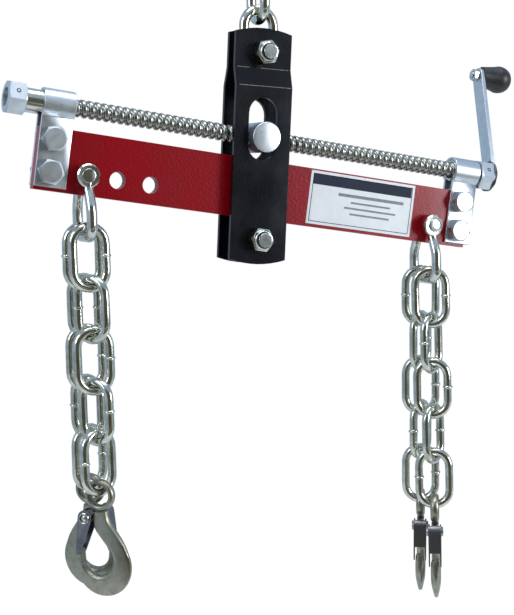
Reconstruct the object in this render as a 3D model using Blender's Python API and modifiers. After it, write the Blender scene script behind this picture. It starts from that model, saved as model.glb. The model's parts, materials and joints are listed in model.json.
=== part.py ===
"""Engine load leveller: a lifting beam hung from a hoist, with a lead screw, a crank and four hook chains.

Metres, +Z up, +X along the beam towards the crank, -Y towards the front.
The origin is the place inside the top link where the hoist's hook bears.
"""
from math import asin, cos, degrees, pi, radians, sin, sqrt

import bmesh
import bpy
from mathutils import Matrix, Vector

SEAT_GAP = 0.0003           # left between two pieces that touch
RUNNING_GAP = 0.0003        # radial, round a shaft or a pin
ROUND_SIDES = 20
SMALL_ROUND_SIDES = 12

# Rest pose: how far the hanger and the beam lean, crank side down
HANGER_TILT = radians(4.2)
BEAM_TILT = radians(9.3)

# Beam: a flat bar on edge
BEAM_LENGTH = 0.526
BEAM_HEIGHT = 0.065
BEAM_THICKNESS = 0.012
TRUNNION_FROM_MIDDLE = -0.020   # where the hanger stands on the beam at rest
PIN_HOLE_FROM_END = 0.053
PIN_HOLE_HEIGHT = 0.0205        # above the beam's lower edge
SPARE_HOLE_RADIUS = 0.009
SPARE_HOLES_FROM_END = (0.089, 0.126)

# Lead screw and its bushes
SCREW_RADIUS = 0.008
SCREW_RISE = 0.0235             # axis above the beam's top edge
BUSH_RADIUS = 0.0125
LEFT_BUSH_PROUD = 0.018
RIGHT_BUSH_PROUD = 0.006

# Straps that hold the bushes on the beam
STRAP_WIDTH = 0.034
STRAP_MIDDLE_FROM_END = {"left": 0.0167, "right": 0.0115}   # the right strap stands past the beam
STRAP_THICKNESS = 0.003
STRAP_LOWER_MARGIN = 0.0035
STRAP_BOLT_RADIUS = 0.008
STRAP_BOLT_ACROSS_FLATS = 0.024
STRAP_BOLT_HEAD = 0.010
STRAP_BOLT_FROM_END = 0.0142
STRAP_BOLT_LOW = 0.019          # above the beam's lower edge
STRAP_BOLT_HIGH = 0.012         # below the beam's top edge

# Nut and hub on the lead screw, each held by a roll pin
SCREW_NUT_ACROSS_FLATS = 0.032
END_NUT_LENGTH = 0.019
HUB_LENGTH = 0.0185
HUB_TO_BUSH = 0.0018
ROLL_PIN_RADIUS = 0.0025
ROLL_PIN_PROUD = 0.0006
HEX_TURN = radians(25)          # the pinned flat looks forwards and up

# Crank
ARM_CENTRES = 0.135
ARM_WIDTH = 0.019
ARM_THICKNESS = 0.005
ARM_LEAN = radians(22.5)         # backwards
KNOB_LENGTH = 0.040
KNOB_NECK_RADIUS = 0.012
KNOB_RADIUS = 0.0165
KNOB_BOLT_RADIUS = 0.004
KNOB_NUT_ACROSS_FLATS = 0.013
KNOB_NUT_HEIGHT = 0.0065

# Hanger: two joggled plates
PLATE_WIDTH = 0.067
PLATE_THICKNESS = 0.005
PLATE_END_RISE = 0.005          # of the shallow arc at each end
PLATE_GAP_TOP = 0.013
PLATE_GAP = 0.026
TOP_BOLT_TO_APEX = 0.0265
FOLD_UPPER = 0.0168             # below the top bolt
FOLD_LOWER = 0.0365
TRUNNION_BELOW_BOLT = 0.0915
BOTTOM_BOLT_BELOW_TRUNNION = 0.111
BOTTOM_BOLT_TO_APEX = 0.027
SLOT_ABOVE_TRUNNION = 0.043
SLOT_BELOW_TRUNNION = 0.025
HANGER_BOLT_RADIUS = 0.008
HANGER_BOLT_ACROSS_FLATS = 0.024
HANGER_BOLT_HEAD = 0.010
LOCK_NUT_HEX = 0.0125
LOCK_NUT_COLLAR = 0.003
LOCK_NUT_COLLAR_RADIUS = 0.0098
BOLT_END_PROUD = 0.003
ROLLER_RADIUS = 0.019
ROLLER_WIDTH = 0.022
TRUNNION_RADIUS = 0.0165
TRUNNION_SIDE_GAP = 0.0005
TRUNNION_PROUD = 0.012          # beyond each plate
TRUNNION_BORE_GAP = 0.0013      # the thread is left out, so its bore is wide

# Top links
TOP_WIRE = 0.011
TOP_LINK_LENGTH = 0.072
TOP_LINK_WIDTH = 0.046

# Shackles
SHACKLE_WIRE = 0.011
SHACKLE_PIN_RADIUS = 0.00635
SHACKLE_EYE_RADIUS = 0.012
SHACKLE_JAW = 0.020
SHACKLE_BOW = 0.049             # between the wire's middles
SHACKLE_CORNER = 0.013
SHACKLE_DEPTH = 0.058           # pin's middle to the inside of the bow
SHACKLE_WAIST_DROP = 0.013
SHACKLE_PIN_HEAD = 0.007
SHACKLE_PIN_HEAD_RADIUS = 0.0095

# Chains
CHAIN_WIRE = 0.0095
LINK_LENGTH = 0.0738
LINK_WIDTH = 0.045
LINKS_PER_CHAIN = 5
CHAIN_SPACING = 0.0212          # of the two chains in one shackle
CHAIN_SPLAY = radians(1.1)      # each chain leans away from its twin
BOW_REST_GAP = 0.0009
LINK_REST_GAP = 0.0008
LEFT_LINK_TURNS = tuple(radians(a) for a in (0, -55, 0, -57, 20))
RIGHT_LINK_TURNS = tuple(radians(a) for a in (-33, 30, -33, 30, -33))
LEFT_HOOK_TURNS = (radians(-47), radians(133))
RIGHT_HOOK_TURNS = (radians(56), radians(56))

# Hooks
HOOK_THICKNESS = 0.011
HOOK_EYE_RADIUS = 0.017
HOOK_EYE_BORE = 0.0105
EYE_REST_GAPS = {"left": 0.0034, "right": 0.0018}   # the eye is flat and the link is round
BOWL_RADIUS = 0.0175
BOWL_SIDE = -0.0035             # bowl's middle from the eye's middle
BOWL_DROP = 0.0685
HOOK_BACK_RADIUS = 0.033
HOOK_BACK_SHIFT = Vector((0.0055, -0.0075))
HOOK_TIP = ((-0.0222, -0.0580), (-0.0240, -0.0558), (-0.0275, -0.0560), (-0.0292, -0.0585))
HOOK_SHOULDER = ((0.0280, -0.0525), (0.0195, -0.0395))
NECK_HALF_WIDTH = 0.0085
NECK_DROP = 0.027
RIVET_SIDE = -0.0155
RIVET_DROP = 0.0245
RIVET_RADIUS = 0.0025
RIVET_LUG = 0.0065
RIVET_HEAD = 0.0042
RIVET_HEAD_PROUD = 0.0007
LATCH_SHEET = 0.0016
LATCH_SIDE_GAP = 0.0004
LATCH_REACH = 0.040
LATCH_SPINE = 0.024
LATCH_MOUTH = 0.0035            # the fold stops this far past the rivet, at the top

# Worked out from the sizes above
BEAM_MIDDLE_X = -TRUNNION_FROM_MIDDLE
BEAM_LEFT = BEAM_MIDDLE_X - BEAM_LENGTH / 2
BEAM_RIGHT = BEAM_MIDDLE_X + BEAM_LENGTH / 2
BEAM_TOP = -SCREW_RISE
BEAM_BOTTOM = BEAM_TOP - BEAM_HEIGHT
BEAM_FACE = BEAM_THICKNESS / 2
STRAP_MIDDLES = {"left": BEAM_LEFT + STRAP_MIDDLE_FROM_END["left"],
                 "right": BEAM_RIGHT - STRAP_MIDDLE_FROM_END["right"]}
STRAP_FACE = BEAM_FACE + SEAT_GAP + STRAP_THICKNESS
BUSH_SEAT = BUSH_RADIUS + SEAT_GAP
SCREW_BORE = SCREW_RADIUS + RUNNING_GAP
LEFT_BUSH_END = BEAM_LEFT - LEFT_BUSH_PROUD
RIGHT_BUSH_END = BEAM_RIGHT + RIGHT_BUSH_PROUD
END_NUT_INNER = LEFT_BUSH_END - SEAT_GAP
HUB_INNER = RIGHT_BUSH_END + HUB_TO_BUSH
ARM_INNER = HUB_INNER + HUB_LENGTH + SEAT_GAP
ARM_OUTER = ARM_INNER + ARM_THICKNESS
HANGER_BORE = HANGER_BOLT_RADIUS + RUNNING_GAP
TRUNNION_HALF = PLATE_GAP / 2 + PLATE_THICKNESS + TRUNNION_PROUD

LOWER_TOP_LINK_WIRE = -(TOP_LINK_LENGTH - 1.5 * TOP_WIRE)
UPPER_WIRE_OF_LINK_A = LOWER_TOP_LINK_WIRE + TOP_WIRE + SEAT_GAP
LINK_A_MIDDLE = UPPER_WIRE_OF_LINK_A - (TOP_LINK_LENGTH - TOP_WIRE) / 2
LINK_B_MIDDLE = TOP_WIRE - TOP_LINK_LENGTH / 2
TOP_BOLT_Z = LINK_A_MIDDLE - TOP_LINK_LENGTH / 2 + TOP_WIRE + SEAT_GAP + HANGER_BOLT_RADIUS

BOW_WIRE_DROP = SHACKLE_DEPTH + SHACKLE_WIRE / 2
LINK_REACH = (LINK_LENGTH - CHAIN_WIRE) / 2
FIRST_LINK_Z = (SHACKLE_WIRE + CHAIN_WIRE) / 2 + BOW_REST_GAP - LINK_REACH
LINK_PITCH = LINK_LENGTH - 2 * CHAIN_WIRE - LINK_REST_GAP
LATCH_HALF = HOOK_THICKNESS / 2 + LATCH_SIDE_GAP + LATCH_SHEET


def clear_scene():
    for obj in list(bpy.data.objects):
        bpy.data.objects.remove(obj, do_unlink=True)


def new_collection(name):
    collection = bpy.data.collections.new(name)
    bpy.context.scene.collection.children.link(collection)
    return collection


def new_material(name, color, metallic, roughness):
    material = bpy.data.materials.new(name)
    material.use_nodes = True
    shader = material.node_tree.nodes["Principled BSDF"]
    shader.inputs["Base Color"].default_value = (*color, 1.0)
    shader.inputs["Metallic"].default_value = metallic
    shader.inputs["Roughness"].default_value = roughness
    material.diffuse_color = (*color, 1.0)
    return material


clear_scene()
PIECES = new_collection("engine_load_leveller")
CUTTERS = new_collection("cutters")
RED_PAINT = new_material("red_paint", (0.45, 0.012, 0.02), 0.0, 0.3)
BLACK_PAINT = new_material("black_paint", (0.01, 0.01, 0.012), 0.0, 0.25)
ZINC = new_material("zinc_plate", (0.62, 0.64, 0.66), 1.0, 0.3)
BLACK_PLASTIC = new_material("black_plastic", (0.012, 0.012, 0.013), 0.0, 0.5)


def frame_empty(name, parent, location, rotation=(0, 0, 0)):
    empty = bpy.data.objects.new(name, None)
    empty.parent = parent
    empty.location = location
    empty.rotation_euler = rotation
    PIECES.objects.link(empty)
    return empty


def add_object(name, data, parent, location, rotation, material):
    """A piece when it has a material, else a cutter."""
    obj = bpy.data.objects.new(name, data)
    obj.parent = parent
    obj.location = location
    obj.rotation_euler = rotation
    if material is None:
        CUTTERS.objects.link(obj)
        obj.hide_render = True
        obj.display_type = "WIRE"
    else:
        PIECES.objects.link(obj)
        data.materials.clear()
        data.materials.append(material)
    return obj


def mesh_from_bmesh(name, bm, smooth=True):
    mesh = bpy.data.meshes.new(name)
    bm.to_mesh(mesh)
    bm.free()
    if smooth:
        mesh.shade_smooth()
        mesh.set_sharp_from_angle(angle=radians(35))
    return mesh


def boolean(obj, tool, operation="DIFFERENCE"):
    modifier = obj.modifiers.new(tool.name, "BOOLEAN")
    modifier.operation = operation
    modifier.object = tool


def bevel(obj, width, segments=1, angle=50):
    modifier = obj.modifiers.new("edges", "BEVEL")
    modifier.width = width
    modifier.segments = segments
    modifier.limit_method = "ANGLE"
    modifier.angle_limit = radians(angle)


ALONG_X = (0, pi / 2, 0)
ALONG_Y = (pi / 2, 0, 0)


def rod(name, radius, length, parent, location, rotation, material=None, sides=ROUND_SIDES, turn=0.0):
    """A prism or cylinder whose middle is at location, its axis turned from Z by rotation."""
    bm = bmesh.new()
    bmesh.ops.create_cone(bm, cap_ends=True, segments=sides, radius1=radius, radius2=radius, depth=length)
    bmesh.ops.rotate(bm, verts=bm.verts, cent=(0, 0, 0), matrix=Matrix.Rotation(turn, 3, "Z"))
    return add_object(name, mesh_from_bmesh(name, bm), parent, location, rotation, material)


def hex_radius(across_flats):
    return across_flats / 2 / cos(pi / 6)


def block(name, size, parent, location, material=None):
    bm = bmesh.new()
    bmesh.ops.create_cube(bm, size=1.0)
    bmesh.ops.scale(bm, vec=size, verts=bm.verts)
    return add_object(name, mesh_from_bmesh(name, bm, smooth=False), parent, location, (0, 0, 0), material)


def arc(centre, radius, start, end, steps):
    """Points on an arc, both ends included, angles in degrees."""
    angles = [radians(start + (end - start) * i / steps) for i in range(steps + 1)]
    return [(centre[0] + radius * cos(a), centre[1] + radius * sin(a)) for a in angles]


def circle(centre, radius, sides):
    return arc(centre, radius, 0, 360, sides)[:-1]


def slab_mesh(name, outlines, thickness):
    """Flat closed outlines filled, holes included, in the XY plane."""
    curve = bpy.data.curves.new(name, "CURVE")
    curve.dimensions = "2D"
    curve.fill_mode = "BOTH"
    curve.extrude = thickness / 2
    for outline in outlines:
        spline = curve.splines.new("POLY")
        spline.points.add(len(outline) - 1)
        for point, (x, y) in zip(spline.points, outline):
            point.co = (x, y, 0, 1)
        spline.use_cyclic_u = True
    return welded_mesh(name, curve)


def welded_mesh(name, curve):
    """The curve's evaluated mesh with its caps welded."""
    guide = bpy.data.objects.new(name + "_guide", curve)
    CUTTERS.objects.link(guide)
    bpy.context.view_layer.update()
    evaluated = guide.evaluated_get(bpy.context.evaluated_depsgraph_get())
    mesh = bpy.data.meshes.new_from_object(evaluated)
    bpy.data.objects.remove(guide, do_unlink=True)
    bm = bmesh.new()
    bm.from_mesh(mesh)
    bmesh.ops.remove_doubles(bm, verts=bm.verts, dist=0.00001)
    bmesh.ops.recalc_face_normals(bm, faces=bm.faces)
    bm.to_mesh(mesh)
    bm.free()
    mesh.shade_smooth()
    mesh.set_sharp_from_angle(angle=radians(35))
    return mesh


FACING_FRONT = (pi / 2, 0, 0)       # an outline's X and Y become X and Z
FACING_SIDE = (pi / 2, 0, pi / 2)   # an outline's X and Y become Y and Z


def wire_curve(name, points, wire, cyclic, resolution=2):
    curve = bpy.data.curves.new(name, "CURVE")
    curve.dimensions = "3D"
    curve.bevel_depth = wire / 2
    curve.bevel_resolution = resolution
    curve.use_fill_caps = not cyclic
    spline = curve.splines.new("POLY")
    spline.points.add(len(points) - 1)
    for point, co in zip(spline.points, points):
        point.co = (*co, 1)
    spline.use_cyclic_u = cyclic
    return curve


def link_curve(name, length, width, wire):
    """A stadium of round wire in the XZ plane, its middle at the origin."""
    radius = (width - wire) / 2
    straight = (length - wire) / 2 - radius
    upper = arc((0, straight), radius, 0, 180, 6)
    lower = arc((0, -straight), radius, 180, 360, 6)
    points = [(x, 0, z) for x, z in upper + lower]
    return wire_curve(name, points, wire, cyclic=True)


def world_point(parent, point):
    bpy.context.view_layer.update()
    return parent.matrix_world @ Vector(point)


# Frames: the hanger leans at the top bolt, the beam leans at the trunnion
hanger_frame = frame_empty("hanger_frame", None, (0, 0, TOP_BOLT_Z), (0, HANGER_TILT, 0))
trunnion_place = world_point(hanger_frame, (0, 0, -TRUNNION_BELOW_BOLT))
beam_frame = frame_empty("beam_frame", None, trunnion_place, (0, BEAM_TILT, 0))


def make_top_links():
    shape = link_curve("top_link", TOP_LINK_LENGTH, TOP_LINK_WIDTH, TOP_WIRE)
    add_object("top_link_a", shape, None, (0, 0, LINK_A_MIDDLE), (0, 0, 0), ZINC)
    add_object("top_link_b", shape, None, (0, 0, LINK_B_MIDDLE), (0, 0, pi / 2), ZINC)


def plate_profile(side):
    """The joggled strip seen from the side, upright, with its two folds."""
    top = TOP_BOLT_TO_APEX + PLATE_WIDTH
    bottom = -TRUNNION_BELOW_BOLT - BOTTOM_BOLT_BELOW_TRUNNION - PLATE_WIDTH
    near, far = PLATE_GAP_TOP / 2, PLATE_GAP / 2
    inner = [(near, top), (near, -FOLD_UPPER), (far, -FOLD_LOWER), (far, bottom)]
    outer = [(y + PLATE_THICKNESS, z) for y, z in reversed(inner)]
    return [(side * y, z) for y, z in inner + outer]


def plate_outline():
    """The plate's front view: shallow arcs at both ends, two bolt holes and the slot."""
    half = PLATE_WIDTH / 2
    top = TOP_BOLT_TO_APEX
    trunnion = -TRUNNION_BELOW_BOLT
    lower_bolt = trunnion - BOTTOM_BOLT_BELOW_TRUNNION
    bottom = lower_bolt - BOTTOM_BOLT_TO_APEX
    steps = 8
    upper = []
    lower = []
    for i in range(steps + 1):
        x = half - 2 * half * i / steps
        rise = PLATE_END_RISE * (1 - (x / half) ** 2)
        upper.append((x, top - PLATE_END_RISE + rise))
        lower.append((-x, bottom + PLATE_END_RISE - rise))
    slot_radius = TRUNNION_RADIUS + TRUNNION_SIDE_GAP
    slot_top = trunnion + SLOT_ABOVE_TRUNNION - slot_radius
    slot_bottom = trunnion - SLOT_BELOW_TRUNNION + slot_radius
    slot = arc((0, slot_top), slot_radius, 0, 180, 10) + arc((0, slot_bottom), slot_radius, 180, 360, 10)
    holes = [circle((0, z), HANGER_BORE, SMALL_ROUND_SIDES) for z in (0, lower_bolt)]
    return [upper + lower, slot] + holes


def make_plates():
    cutter = add_object("plate_shape", slab_mesh("plate_shape", plate_outline(), 4 * PLATE_GAP),
                        hanger_frame, (0, 0, 0), FACING_FRONT, None)
    for name, side in (("hanger_front_plate", -1), ("hanger_back_plate", 1)):
        strip = slab_mesh(name, [plate_profile(side)], PLATE_WIDTH * 1.2)
        plate = add_object(name, strip, hanger_frame, (0, 0, 0), FACING_SIDE, BLACK_PAINT)
        boolean(plate, cutter, "INTERSECT")


def make_hanger_bolt(name, z, gap):
    """A bolt from the back through both plates, and its lock nut in front."""
    face = gap / 2 + PLATE_THICKNESS + SEAT_GAP
    front_end = face + LOCK_NUT_HEX + LOCK_NUT_COLLAR + BOLT_END_PROUD
    length = face + front_end
    shank = rod(name + "_bolt", HANGER_BOLT_RADIUS, length, hanger_frame,
                (0, (face - front_end) / 2, z), ALONG_Y, ZINC, SMALL_ROUND_SIDES)
    head = rod(name + "_head_shape", hex_radius(HANGER_BOLT_ACROSS_FLATS), HANGER_BOLT_HEAD, hanger_frame,
               (0, face + HANGER_BOLT_HEAD / 2, z), ALONG_Y, None, 6)
    boolean(shank, head, "UNION")
    nut = rod(name + "_nut", hex_radius(HANGER_BOLT_ACROSS_FLATS), LOCK_NUT_HEX, hanger_frame,
              (0, -face - LOCK_NUT_HEX / 2, z), ALONG_Y, ZINC, 6, radians(12))
    collar_length = LOCK_NUT_COLLAR + LOCK_NUT_HEX / 2
    collar = rod(name + "_collar_shape", LOCK_NUT_COLLAR_RADIUS, collar_length, hanger_frame,
                 (0, -face - LOCK_NUT_HEX - LOCK_NUT_COLLAR + collar_length / 2, z), ALONG_Y, None)
    bore = rod(name + "_nut_bore", HANGER_BORE, 0.1, hanger_frame, (0, -face, z), ALONG_Y, None,
               SMALL_ROUND_SIDES)
    boolean(nut, collar, "UNION")
    boolean(nut, bore)


def make_roller():
    z = -TRUNNION_BELOW_BOLT - BOTTOM_BOLT_BELOW_TRUNNION
    roller = rod("roller", ROLLER_RADIUS, ROLLER_WIDTH, hanger_frame, (0, 0, z), ALONG_Y, ZINC, 24)
    bore = rod("roller_bore", HANGER_BORE, 0.1, hanger_frame, (0, 0, z), ALONG_Y, None, SMALL_ROUND_SIDES)
    boolean(roller, bore)


def make_trunnion_nut():
    nut = rod("trunnion_nut", TRUNNION_RADIUS, 2 * TRUNNION_HALF, beam_frame, (0, 0, 0), ALONG_Y, ZINC, 24)
    bore = rod("trunnion_bore", SCREW_RADIUS + TRUNNION_BORE_GAP, 0.1, beam_frame, (0, 0, 0), ALONG_X, None)
    boolean(nut, bore)


def strap_bolt_places():
    """The four strap bolts: name and place in the beam's frame."""
    low = BEAM_BOTTOM + STRAP_BOLT_LOW
    high = BEAM_TOP - STRAP_BOLT_HIGH
    for side, x in (("left", BEAM_LEFT + STRAP_BOLT_FROM_END), ("right", BEAM_RIGHT - STRAP_BOLT_FROM_END)):
        yield side, "upper", x, high
        yield side, "lower", x, low


def make_beam():
    size = (BEAM_LENGTH, BEAM_THICKNESS, BEAM_HEIGHT)
    beam = block("beam", size, beam_frame, (BEAM_MIDDLE_X, 0, (BEAM_TOP + BEAM_BOTTOM) / 2), RED_PAINT)
    pin_z = BEAM_BOTTOM + PIN_HOLE_HEIGHT
    holes = [(x, pin_z, SHACKLE_PIN_RADIUS + RUNNING_GAP) for x in shackle_places().values()]
    holes += [(BEAM_LEFT + x, pin_z, SPARE_HOLE_RADIUS) for x in SPARE_HOLES_FROM_END]
    holes += [(x, z, STRAP_BOLT_RADIUS + RUNNING_GAP) for _, _, x, z in strap_bolt_places()]
    for i, (x, z, radius) in enumerate(holes):
        boolean(beam, rod(f"beam_hole_{i}", radius, 0.05, beam_frame, (x, 0, z), ALONG_Y, None, 16))


def shackle_places():
    return {"left": BEAM_LEFT + PIN_HOLE_FROM_END, "right": BEAM_RIGHT - PIN_HOLE_FROM_END}


def strap_outline():
    """The strap seen from the beam's end: two legs and a loop over the bush."""
    foot = BEAM_BOTTOM + STRAP_LOWER_MARGIN
    leg_inner = BEAM_FACE + SEAT_GAP
    outer_radius = BUSH_SEAT + STRAP_THICKNESS
    inner_meet = -sqrt(BUSH_SEAT ** 2 - leg_inner ** 2)
    outer_meet = -sqrt(outer_radius ** 2 - STRAP_FACE ** 2)
    inner_angle = Vector((leg_inner, inner_meet)).angle_signed(Vector((1, 0)))
    outer_angle = Vector((STRAP_FACE, outer_meet)).angle_signed(Vector((1, 0)))
    start, end = -abs(inner_angle) * 180 / pi, 180 + abs(inner_angle) * 180 / pi
    inner = arc((0, 0), BUSH_SEAT, start, end, 14)
    start, end = -abs(outer_angle) * 180 / pi, 180 + abs(outer_angle) * 180 / pi
    outer = arc((0, 0), outer_radius, end, start, 14)
    return [(leg_inner, foot)] + inner + [(-leg_inner, foot), (-STRAP_FACE, foot)] + outer + [(STRAP_FACE, foot)]


def make_straps():
    straps = {}
    for side, x in STRAP_MIDDLES.items():
        name = "strap_" + side
        shape = slab_mesh(name, [strap_outline()], STRAP_WIDTH)
        straps[side] = add_object(name, shape, beam_frame, (x, 0, 0), FACING_SIDE, ZINC)
    for side, level, x, z in strap_bolt_places():
        name = f"strap_bolt_{side}_{level}"
        hole = rod(name + "_hole", STRAP_BOLT_RADIUS + RUNNING_GAP, 0.05, beam_frame, (x, 0, z), ALONG_Y,
                   None, SMALL_ROUND_SIDES)
        boolean(straps[side], hole)
        make_strap_bolt(name, x, z)


def make_strap_bolt(name, x, z):
    """Head in front, nut behind, on one shank."""
    face = STRAP_FACE + SEAT_GAP
    reach = face + STRAP_BOLT_HEAD
    bolt = rod(name, STRAP_BOLT_RADIUS, 2 * face + STRAP_BOLT_HEAD, beam_frame, (x, 0, z), ALONG_Y, ZINC,
               SMALL_ROUND_SIDES)
    for end, side in (("head", -1), ("nut", 1)):
        shape = rod(f"{name}_{end}_shape", hex_radius(STRAP_BOLT_ACROSS_FLATS), STRAP_BOLT_HEAD, beam_frame,
                    (x, side * (reach - STRAP_BOLT_HEAD / 2), z), ALONG_Y, None, 6, radians(20))
        boolean(bolt, shape, "UNION")


def make_bushes():
    spans = {"left": (LEFT_BUSH_END, STRAP_MIDDLES["left"] + STRAP_WIDTH / 2),
             "right": (STRAP_MIDDLES["right"] - STRAP_WIDTH / 2, RIGHT_BUSH_END)}
    for side, (start, end) in spans.items():
        place = ((start + end) / 2, 0, 0)
        bush = rod("bush_" + side, BUSH_RADIUS, end - start, beam_frame, place, ALONG_X, ZINC)
        bore = rod(f"bush_{side}_bore", SCREW_BORE, 0.1, beam_frame, place, ALONG_X, None)
        boolean(bush, bore)


def roll_pin_direction():
    return Vector((0, -cos(HEX_TURN), sin(HEX_TURN)))


def make_screw_end(name, inner, outer, pin_name, screw):
    """A hexagon on the screw and the roll pin through both."""
    length = abs(outer - inner)
    middle = (inner + outer) / 2
    hexagon = rod(name, hex_radius(SCREW_NUT_ACROSS_FLATS), length, beam_frame, (middle, 0, 0), ALONG_X,
                  ZINC, 6, HEX_TURN)
    bevel(hexagon, 0.0012)
    bore = rod(name + "_bore", SCREW_BORE, 0.1, beam_frame, (middle, 0, 0), ALONG_X, None)
    boolean(hexagon, bore)
    rotation = roll_pin_direction().to_track_quat("Z", "Y").to_euler()
    pin_length = SCREW_NUT_ACROSS_FLATS + 2 * ROLL_PIN_PROUD
    rod(pin_name, ROLL_PIN_RADIUS, pin_length, beam_frame, (middle, 0, 0), rotation, ZINC, SMALL_ROUND_SIDES)
    hole = rod(pin_name + "_hole", ROLL_PIN_RADIUS + RUNNING_GAP, 0.06, beam_frame, (middle, 0, 0),
               rotation, None, SMALL_ROUND_SIDES)
    boolean(hexagon, hole)
    boolean(screw, hole)


def make_screw():
    """The lead screw, with the end nut and the crank's hub pinned to it."""
    start = END_NUT_INNER - END_NUT_LENGTH
    end = HUB_INNER + HUB_LENGTH
    screw = rod("lead_screw", SCREW_RADIUS, end - start, beam_frame, ((start + end) / 2, 0, 0), ALONG_X, ZINC)
    make_screw_end("end_nut", END_NUT_INNER, start, "end_nut_pin", screw)
    make_screw_end("crank_hub", HUB_INNER, end, "hub_pin", screw)


def arm_point(along):
    """A place on the crank arm's centre line, in the beam's frame."""
    return Vector((0, along * sin(ARM_LEAN), along * cos(ARM_LEAN)))


def make_crank_arm():
    half = ARM_WIDTH / 2
    outline = arc((0, 0), half, 180, 360, 10) + arc((0, ARM_CENTRES), half, 0, 180, 10)
    bolt_hole = circle((0, ARM_CENTRES), KNOB_BOLT_RADIUS + RUNNING_GAP, SMALL_ROUND_SIDES)
    shape = slab_mesh("crank_arm", [outline, bolt_hole], ARM_THICKNESS)
    rotation = (Matrix.Rotation(-ARM_LEAN, 4, "X") @ Matrix.Rotation(pi / 2, 4, "Z")
                @ Matrix.Rotation(pi / 2, 4, "X")).to_euler()
    add_object("crank_arm", shape, beam_frame, ((ARM_INNER + ARM_OUTER) / 2, 0, 0), rotation, ZINC)


def make_knob():
    """A tapered grip that turns on a bolt through the arm's end."""
    top = arm_point(ARM_CENTRES)
    start = ARM_OUTER + SEAT_GAP
    profile = [(0.0, 0.0), (KNOB_NECK_RADIUS, 0.0), (KNOB_NECK_RADIUS, 0.0025),
               (KNOB_RADIUS, KNOB_LENGTH * 0.6), (KNOB_RADIUS * 0.97, KNOB_LENGTH * 0.74),
               (KNOB_RADIUS * 0.84, KNOB_LENGTH * 0.89), (KNOB_RADIUS * 0.62, KNOB_LENGTH * 0.98),
               (KNOB_RADIUS * 0.4, KNOB_LENGTH), (0.0, KNOB_LENGTH)]
    bm = bmesh.new()
    verts = [bm.verts.new((radius, 0, z)) for radius, z in profile]
    edges = [bm.edges.new(pair) for pair in zip(verts, verts[1:])]
    bmesh.ops.spin(bm, geom=verts + edges, cent=(0, 0, 0), axis=(0, 0, 1), angle=2 * pi, steps=24,
                   use_merge=True)
    bmesh.ops.remove_doubles(bm, verts=bm.verts, dist=0.00001)
    bmesh.ops.recalc_face_normals(bm, faces=bm.faces)
    mesh = mesh_from_bmesh("knob", bm)
    knob = add_object("knob", mesh, beam_frame, (start, top.y, top.z), ALONG_X, BLACK_PLASTIC)
    depth = KNOB_LENGTH * 0.7
    bore = rod("knob_bore", KNOB_BOLT_RADIUS + RUNNING_GAP, 2 * depth, beam_frame, (start, top.y, top.z),
               ALONG_X, None, SMALL_ROUND_SIDES)
    boolean(knob, bore)
    nut_outer = ARM_INNER - SEAT_GAP - KNOB_NUT_HEIGHT
    bolt_start, bolt_end = nut_outer - 0.0015, start + depth - SEAT_GAP
    rod("knob_bolt", KNOB_BOLT_RADIUS, bolt_end - bolt_start, beam_frame,
        ((bolt_start + bolt_end) / 2, top.y, top.z), ALONG_X, ZINC, SMALL_ROUND_SIDES)
    nut_place = (nut_outer + KNOB_NUT_HEIGHT / 2, top.y, top.z)
    nut = rod("knob_nut", hex_radius(KNOB_NUT_ACROSS_FLATS), KNOB_NUT_HEIGHT, beam_frame, nut_place,
              ALONG_X, ZINC, 6)
    nut_bore = rod("knob_nut_bore", KNOB_BOLT_RADIUS + RUNNING_GAP, 0.05, beam_frame, nut_place, ALONG_X,
                   None, SMALL_ROUND_SIDES)
    boolean(nut, nut_bore)


def bow_path():
    """The shackle's wire from one eye round to the other, in the YZ plane."""
    eye = (SHACKLE_JAW + SHACKLE_WIRE) / 2
    wide = SHACKLE_BOW / 2
    corner_z = -BOW_WIRE_DROP + SHACKLE_CORNER
    right = [(eye, 0), (eye, -SHACKLE_WAIST_DROP), ((eye + wide) / 2, -SHACKLE_WAIST_DROP * 1.7),
             (wide, -SHACKLE_WAIST_DROP * 2.4)]
    right += arc((wide - SHACKLE_CORNER, corner_z), SHACKLE_CORNER, 0, -90, 5)
    left = [(-y, z) for y, z in reversed(right)]
    return [(0, y, z) for y, z in right + left]


def make_shackle(side, frame):
    curve = wire_curve("shackle_" + side, bow_path(), SHACKLE_WIRE, cyclic=False, resolution=3)
    bow = add_object("shackle_" + side, welded_mesh("shackle_" + side, curve), frame, (0, 0, 0), (0, 0, 0), ZINC)
    eye_middle = (SHACKLE_JAW + SHACKLE_WIRE) / 2
    for end, sign in (("front", -1), ("back", 1)):
        eye = rod(f"shackle_{side}_{end}_eye", SHACKLE_EYE_RADIUS, SHACKLE_WIRE, frame,
                  (0, sign * eye_middle, 0), ALONG_Y, None)
        boolean(bow, eye, "UNION")
    bore = rod(f"shackle_{side}_bore", SHACKLE_PIN_RADIUS + RUNNING_GAP, 0.1, frame, (0, 0, 0), ALONG_Y,
               None, 16)
    boolean(bow, bore)
    eye_face = SHACKLE_JAW / 2 + SHACKLE_WIRE
    pin = rod("shackle_pin_" + side, SHACKLE_PIN_RADIUS, 2 * eye_face + SHACKLE_PIN_HEAD, frame,
              (0, SHACKLE_PIN_HEAD / 2, 0), ALONG_Y, ZINC, 16)
    head_length = SHACKLE_PIN_HEAD - SEAT_GAP
    head = rod(f"shackle_pin_{side}_head", SHACKLE_PIN_HEAD_RADIUS, head_length, frame,
               (0, eye_face + SEAT_GAP + head_length / 2, 0), ALONG_Y, None, 16)
    boolean(pin, head, "UNION")


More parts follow.
